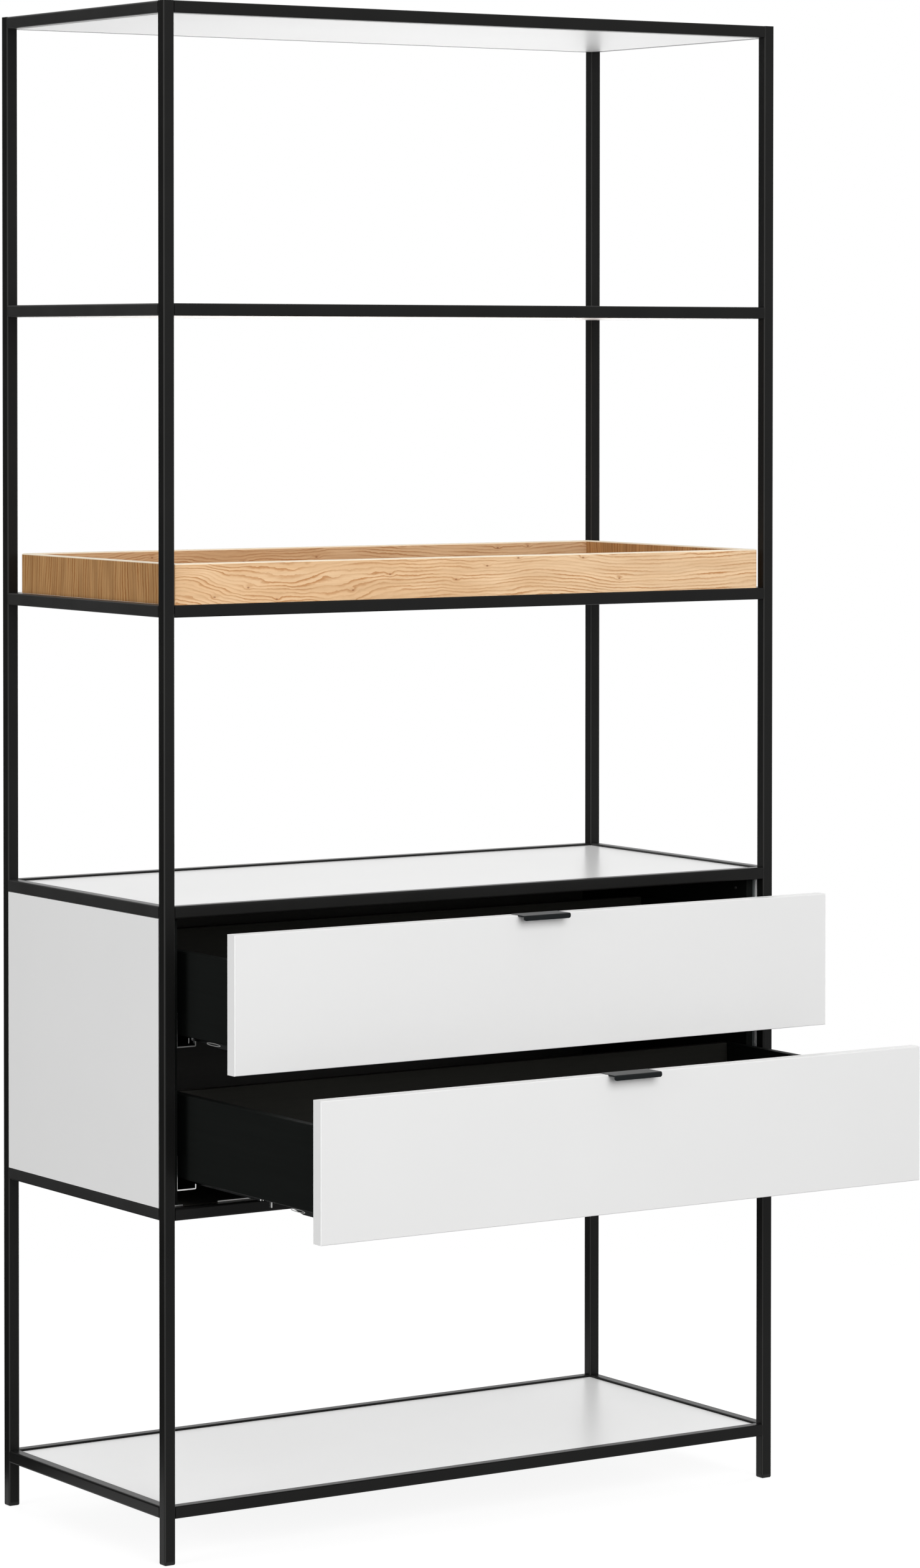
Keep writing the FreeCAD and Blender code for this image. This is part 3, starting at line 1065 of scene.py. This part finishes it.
@dataclass
class Cabinet:
    """Side panels, liners and back of the cabinet, and the fixed members of the runners."""

    finishes: Finishes
    facing: float = 1 * MM
    band_width: float = 3.4 * MM
    cut_depth: float = 0.3 * MM
    notch: Span = (392 * MM, 444 * MM)
    screw_radius: float = 3.6 * MM
    screw_dome: float = 1.5 * MM
    screw_rise: float = 52.5 * MM
    screw_shares: Triple = (0.09, 0.5, 0.9)
    flange_sheet: float = 1.5 * MM
    fixing_radius: float = 2.6 * MM
    fixing_dome: float = 0.8 * MM
    fixing_inset: float = 25 * MM
    fixing_rise: float = 7 * MM
    fixing_drop: float = 15 * MM

    def dress(self) -> None:
        """Lacquer the outside, darken the inside and plate the runners."""
        dress(self.finishes.lacquer, "cabinet_panel_left", "cabinet_panel_right")
        _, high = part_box("cabinet_back")
        # Painted fill light: the back's inner face takes the paler inside colour
        lining = DarkBoard("cabinet_back_lining", Axis.X, self.finishes.inside)
        back = FacedBoard("cabinet_back_board", self.finishes.white, lining, Axis.Y,
                          high.y - self.facing)
        dress(back.material(), "cabinet_back")
        low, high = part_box("cabinet_liner_right")
        liner = DarkBoard("cabinet_liner_board", Axis.Y, roughness=0.41, grain_sheen=0.1,
                          band=(high.x - self.band_width, low.y))
        dress(liner.material(), "cabinet_liner_left", "cabinet_liner_right")
        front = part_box("runner_cabinet_members")[0].y
        sheet = ZincSheet("zinc_cabinet_members", (front - self.cut_depth, front + self.cut_depth))
        dress(sheet.material(), "runner_cabinet_members")

    def build(self) -> None:
        """Add the edging of the floor, and the screws of both sides."""
        _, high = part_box("cabinet_liner_right")
        inner, outer = self.notch
        lengths = np.array([[-high.x, -outer], [-inner, inner], [outer, high.x]])
        floor_low, floor_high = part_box("board_cabinet_floor")
        FloorEdging().place(lengths, floor_low.y, floor_high.z, self.finishes.steel)
        for side in ENDS:
            self._screws(side)

    def _screws(self, side: Side) -> None:
        """Put screws on the wall flanges of the runners, and fixings near a liner's corners.

        Args:
            side: The left or the right side.
        """
        left = side is Side.LEFT
        inward = (1.0 if left else -1.0, 0.0, 0.0)
        low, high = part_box("runner_cabinet_members")
        face = low.x + self.flange_sheet if left else high.x - self.flange_sheet
        runs = low.y + (high.y - low.y) * np.array(self.screw_shares)
        heights = [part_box(f"{name}_drawer_front")[0].z + self.screw_rise for name in DRAWERS]
        CrossHeadScrews(self.screw_radius, self.screw_dome).place(
            f"runner_screws_{side.value}", spots_on(face, runs, heights), inward,
            "frame", "zinc_steel", self.finishes.screws)
        low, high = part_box(f"cabinet_liner_{side.value}")
        spots = spots_on(high.x if left else low.x,
                         [low.y + self.fixing_inset, high.y - self.fixing_inset],
                         [low.z + self.fixing_rise, high.z - self.fixing_drop])
        CrossHeadScrews(self.fixing_radius, self.fixing_dome).place(
            f"liner_fixings_{side.value}", spots, inward,
            "frame", "zinc_steel", self.finishes.screws)


@dataclass
class Drawer:
    """One drawer: white front, black pull, dark box and its members of the runners."""

    name: str
    finishes: Finishes
    coupling_setback: float = 8 * MM
    coupling_length: float = 86 * MM
    hook_setback: float = 150 * MM
    hook_length: float = 12 * MM
    leg_inset: float = 6.8 * MM
    cut_depth: float = 0.3 * MM
    screw_radius: float = 3.0 * MM
    screw_dome: float = 1.2 * MM
    screw_pitch: float = 46 * MM
    screw_drop: float = 12 * MM
    wire_reach: float = 10 * MM
    wire_drop: float = 5 * MM

    def dress(self) -> None:
        """Give each piece of the drawer its finish."""
        dress(self.finishes.lacquer, f"{self.name}_drawer_front")
        dress(self.finishes.pull_coat, f"{self.name}_drawer_pull")
        dress(self.finishes.dark_along_y, f"{self.name}_drawer_side_left",
              f"{self.name}_drawer_side_right")
        # Painted fill light: the box's bottom and back take the paler inside colour
        dress(self.finishes.inside_along_y, f"{self.name}_drawer_bottom")
        dress(self.finishes.inside_along_x, f"{self.name}_drawer_back")
        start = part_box(f"{self.name}_runner_middle_members")[0].y
        middle = ZincSheet(f"zinc_{self.name}_middle",
                           (start - self.cut_depth, start + self.cut_depth))
        dress(middle.material(), f"{self.name}_runner_middle_members")
        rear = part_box(f"{self.name}_drawer_front")[1].y
        side = abs(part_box(f"{self.name}_drawer_side_left")[1].x)
        hook, coupling = rear + self.hook_setback, rear + self.coupling_setback
        members = ZincSheet(f"zinc_{self.name}_members", (hook, hook + self.hook_length),
                            side - self.leg_inset, (coupling, coupling + self.coupling_length))
        dress(members.material(), f"{self.name}_runner_drawer_members")

    def build(self) -> None:
        """Add the screws in the pull's rear flange and the wires on the couplings."""
        _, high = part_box(f"{self.name}_drawer_pull")
        half = self.screw_pitch / 2
        spots = np.array([[x, high.y, high.z - self.screw_drop] for x in (-half, half)])
        CrossHeadScrews(self.screw_radius, self.screw_dome).place(
            f"{self.name}_pull_screws", spots, (0.0, 1.0, 0.0), f"{self.name}_drawer",
            "black_steel", self.finishes.coat)
        wires = ReleaseWires()
        low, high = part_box(f"{self.name}_drawer_side_left")
        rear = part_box(f"{self.name}_drawer_front")[1].y
        middle = (high.x - wires.wire,
                  rear + self.coupling_setback + self.coupling_length - self.wire_reach,
                  low.z - self.wire_drop)
        add_shells(f"{self.name}_release_wires", wires.points(middle), wires.spokes,
                   f"{self.name}_drawer", self.finishes.steel).data.shade_smooth()


@dataclass
class Tray:
    """The loose oak tray."""

    end_tone: Colour = (0.560, 0.448, 0.303)
    end_pitch: float = 6.5 * MM
    end_streaks: float = 0.34
    end_knots: float = 0.05
    rear_tone: Colour = (0.68, 0.67, 0.66)
    bottom_knots: float = 0.12

    def dress(self) -> None:
        """Run the grain along the long walls and the bottom, and up the end walls."""
        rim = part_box("tray_long_walls")[1].z
        long_walls = Oak("oak_long_walls", Axis.X, Axis.Z, rim, rear_tone=self.rear_tone)
        dress(long_walls.material(), "tray_long_walls")
        ends = Oak("oak_end_walls", Axis.Z, Axis.Y, rim, self.end_tone, self.end_tone,
                   self.end_pitch, self.end_streaks, self.end_knots)
        dress(ends.material(), "tray_end_walls")
        bottom = Oak("oak_bottom", Axis.X, Axis.Y, rim, knots=self.bottom_knots)
        dress(bottom.material(), "tray_bottom")


@dataclass(frozen=True)
class SoftBox:
    """A square lamp that faces a target. Glossy surfaces show it only where it is mirrored."""

    name: str
    place: Triple
    target: Triple
    size: float
    watts: float
    mirrored: bool = False

    def hang(self) -> None:
        """Add the lamp, which the camera never sees."""
        data = bpy.data.lights.new(self.name, "AREA")
        data.shape = "SQUARE"
        data.size = self.size
        data.energy = self.watts
        lamp = link(self.name, data)
        lamp.visible_camera = False
        lamp.visible_glossy = self.mirrored
        turn = (Vector(self.place) - Vector(self.target)).to_track_quat("Z", "Y")
        lamp.matrix_world = Matrix.Translation(self.place) @ turn.to_matrix().to_4x4()


@dataclass
class Studio:
    """Camera, floor, backdrop and lights."""

    camera_place: Triple = (-3.7913, -6.0509, 1.5539)
    yaw: float = math.radians(34.1152)
    pitch: float = math.radians(-1.4627)
    roll: float = math.radians(0.0576)
    focal_pixels: float = 8449.6
    middle_pixel: Span = (932.22, 780.78)
    image: tuple[int, int] = (1478, 2520)
    sensor: float = 36.0
    world_light: float = 0.30
    flag_place: Span = (-1.95, 2.4)
    flag_width: float = 2.4
    flag_floor: float = 2.5
    flag_lift: float = 4 * MM
    flag_height: float = 2.6
    floor_half: float = 40.0
    floor_colour: Colour = (0.20, 0.20, 0.20)
    floor_lift: float = 0.88
    floor_fade: Span = (0.9, 2.0)
    lamps: ClassVar[tuple[SoftBox, ...]] = (
        SoftBox("front_light", (-0.4, -5.4, 3.1), (0.0, 0.0, 1.0), 4.4, 254.0),
        SoftBox("left_light", (-4.6, -0.6, 1.2), (0.0, 0.0, 0.5), 2.2, 102.0),
        SoftBox("right_light", (4.6, 0.6, 1.2), (0.0, 0.0, 0.3), 2.2, 108.0),
        SoftBox("rear_light", (0.6, 4.6, 2.6), (0.0, 0.0, 0.8), 2.6, 114.0),
        SoftBox("top_light", (0.0, -0.4, 5.2), (0.0, 0.0, 0.0), 3.8, 18.0),
        SoftBox("sheen_light", (2.7, 4.0, 1.0), (0.0, 0.0, 0.4), 2.2, 1.6, mirrored=True),
        SoftBox("under_light", (1.15, 1.7, 1.0), (1.15, 1.7, 3.0), 1.6, 24.0, mirrored=True))

    def build(self) -> None:
        """Set up the whole studio."""
        scene = bpy.context.scene
        scene.view_settings.view_transform = "Standard"
        self._camera(scene)
        self._world(scene)
        self._floor()
        self._flag()
        for lamp in self.lamps:
            lamp.hang()

    def _camera(self, scene: bpy.types.Scene) -> None:
        """Place the camera where the photograph's was, with the same framing.

        Args:
            scene: The scene that it shows.
        """
        level = math.cos(self.pitch)
        ahead = np.array([math.sin(self.yaw) * level, math.cos(self.yaw) * level,
                          math.sin(self.pitch)])
        right = np.array([math.cos(self.yaw), -math.sin(self.yaw), 0.0])
        up = np.cross(right, ahead)
        cos, sin = math.cos(self.roll), math.sin(self.roll)
        axes = np.stack([cos * right + sin * up, cos * up - sin * right, -ahead], axis=1)
        data = bpy.data.cameras.new("camera")
        camera = link("camera", data)
        camera.matrix_world = (Matrix.Translation(self.camera_place)
                               @ Matrix(axes.tolist()).to_4x4())
        wide, tall = self.image
        data.sensor_width = self.sensor
        data.lens = self.focal_pixels / max(wide, tall) * self.sensor
        data.shift_x = (wide / 2 - self.middle_pixel[0]) / max(wide, tall)
        data.shift_y = (self.middle_pixel[1] - tall / 2) / max(wide, tall)
        scene.camera = camera

    def _world(self, scene: bpy.types.Scene) -> None:
        """White to the camera and in reflections, and less as light.

        Args:
            scene: The scene that it surrounds.
        """
        scene.world = bpy.data.worlds.new("white_room")
        scene.world.use_nodes = True
        graph = Graph(scene.world.node_tree)
        strength = self.world_light + (1 - self.world_light) * graph.seen()
        sky = graph.node("ShaderNodeBackground", {},
                         {"Color": (*WHITE, 1.0), "Strength": strength})
        graph.node("ShaderNodeOutputWorld", {}, {"Surface": sky.outputs[0]})

    def _floor(self) -> None:
        """A pale floor that keeps the shadow and fades to white away from the object."""
        half = self.floor_half
        corners = np.array([[-half, -half, 0.0], [half, -half, 0.0],
                            [half, half, 0.0], [-half, half, 0.0]])
        floor = self._sheet("floor", corners, [(0, 1, 2, 3)], self._floor_material())

    def _floor_material(self) -> Material:
        """Diffuse near the object, lifted to white for the camera, and plain white far away.

        Returns:
            The material.
        """
        graph = MaterialGraph("pale_floor")
        x, y, _ = graph.place()
        far = (x * x + y * y).root().rise(*self.floor_fade)
        seen = graph.seen()
        matt = graph.node("ShaderNodeBsdfDiffuse", {}, {"Color": (*self.floor_colour, 1.0)})
        lift = graph.node("ShaderNodeEmission", {}, {"Strength": seen * self.floor_lift})
        near = graph.node("ShaderNodeAddShader", {}, {0: matt.outputs[0], 1: lift.outputs[0]})
        white = graph.node("ShaderNodeEmission", {}, {"Strength": 1.0})
        mixed = graph.node("ShaderNodeMixShader", {},
                           {0: far * seen, 1: near.outputs[0], 2: white.outputs[0]})
        return graph.end(mixed.outputs[0])

    def _flag(self) -> None:
        """A black screen at the rear left, seen only in gloss, which darkens the tubes there.

        It lies on the floor from near the object to its foot, and stands up from there.
        """
        foot = np.array([*self.flag_place, self.flag_lift])
        half = np.array([math.cos(self.yaw), math.sin(self.yaw), 0.0]) * self.flag_width / 2
        near = foot + np.array([math.sin(self.yaw), -math.cos(self.yaw), 0.0]) * self.flag_floor
        top = foot + np.array([0.0, 0.0, self.flag_height])
        rows = np.stack([near, foot, top])
        graph = MaterialGraph("black_screen")
        cloth = graph.node("ShaderNodeBsdfDiffuse", {}, {"Color": (*BLACK, 1.0)})
        flag = self._sheet("flag", np.concatenate([rows - half, rows + half]),
                           [(0, 3, 4, 1), (1, 4, 5, 2)], graph.end(cloth.outputs[0]))
        flag.visible_camera = False
        flag.visible_diffuse = False
        flag.visible_shadow = False
        flag.visible_transmission = False

    @staticmethod
    def _sheet(name: str, corners: np.ndarray, faces: Sequence[Sequence[int]],
               material: Material) -> bpy.types.Object:
        """Make flat faces of the studio.

        Args:
            name: The object's name.
            corners: Corners, one row each.
            faces: The corners of each face.
            material: The finish.

        Returns:
            The new object.
        """
        mesh = bpy.data.meshes.new(name)
        mesh.from_pydata(corners.tolist(), [], faces)
        mesh.materials.append(material)
        return link(name, mesh)


def main() -> None:
    """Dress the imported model, add the small pieces and set up the studio."""
    logging.basicConfig(level=logging.INFO, format="%(name)s: %(message)s")
    finishes = Finishes()
    Frame(finishes).dress()
    cabinet = Cabinet(finishes)
    cabinet.dress()
    cabinet.build()
    for name in DRAWERS:
        drawer = Drawer(name, finishes)
        drawer.dress()
        drawer.build()
    Tray().dress()
    Studio().build()


if __name__ == "__main__":
    main()
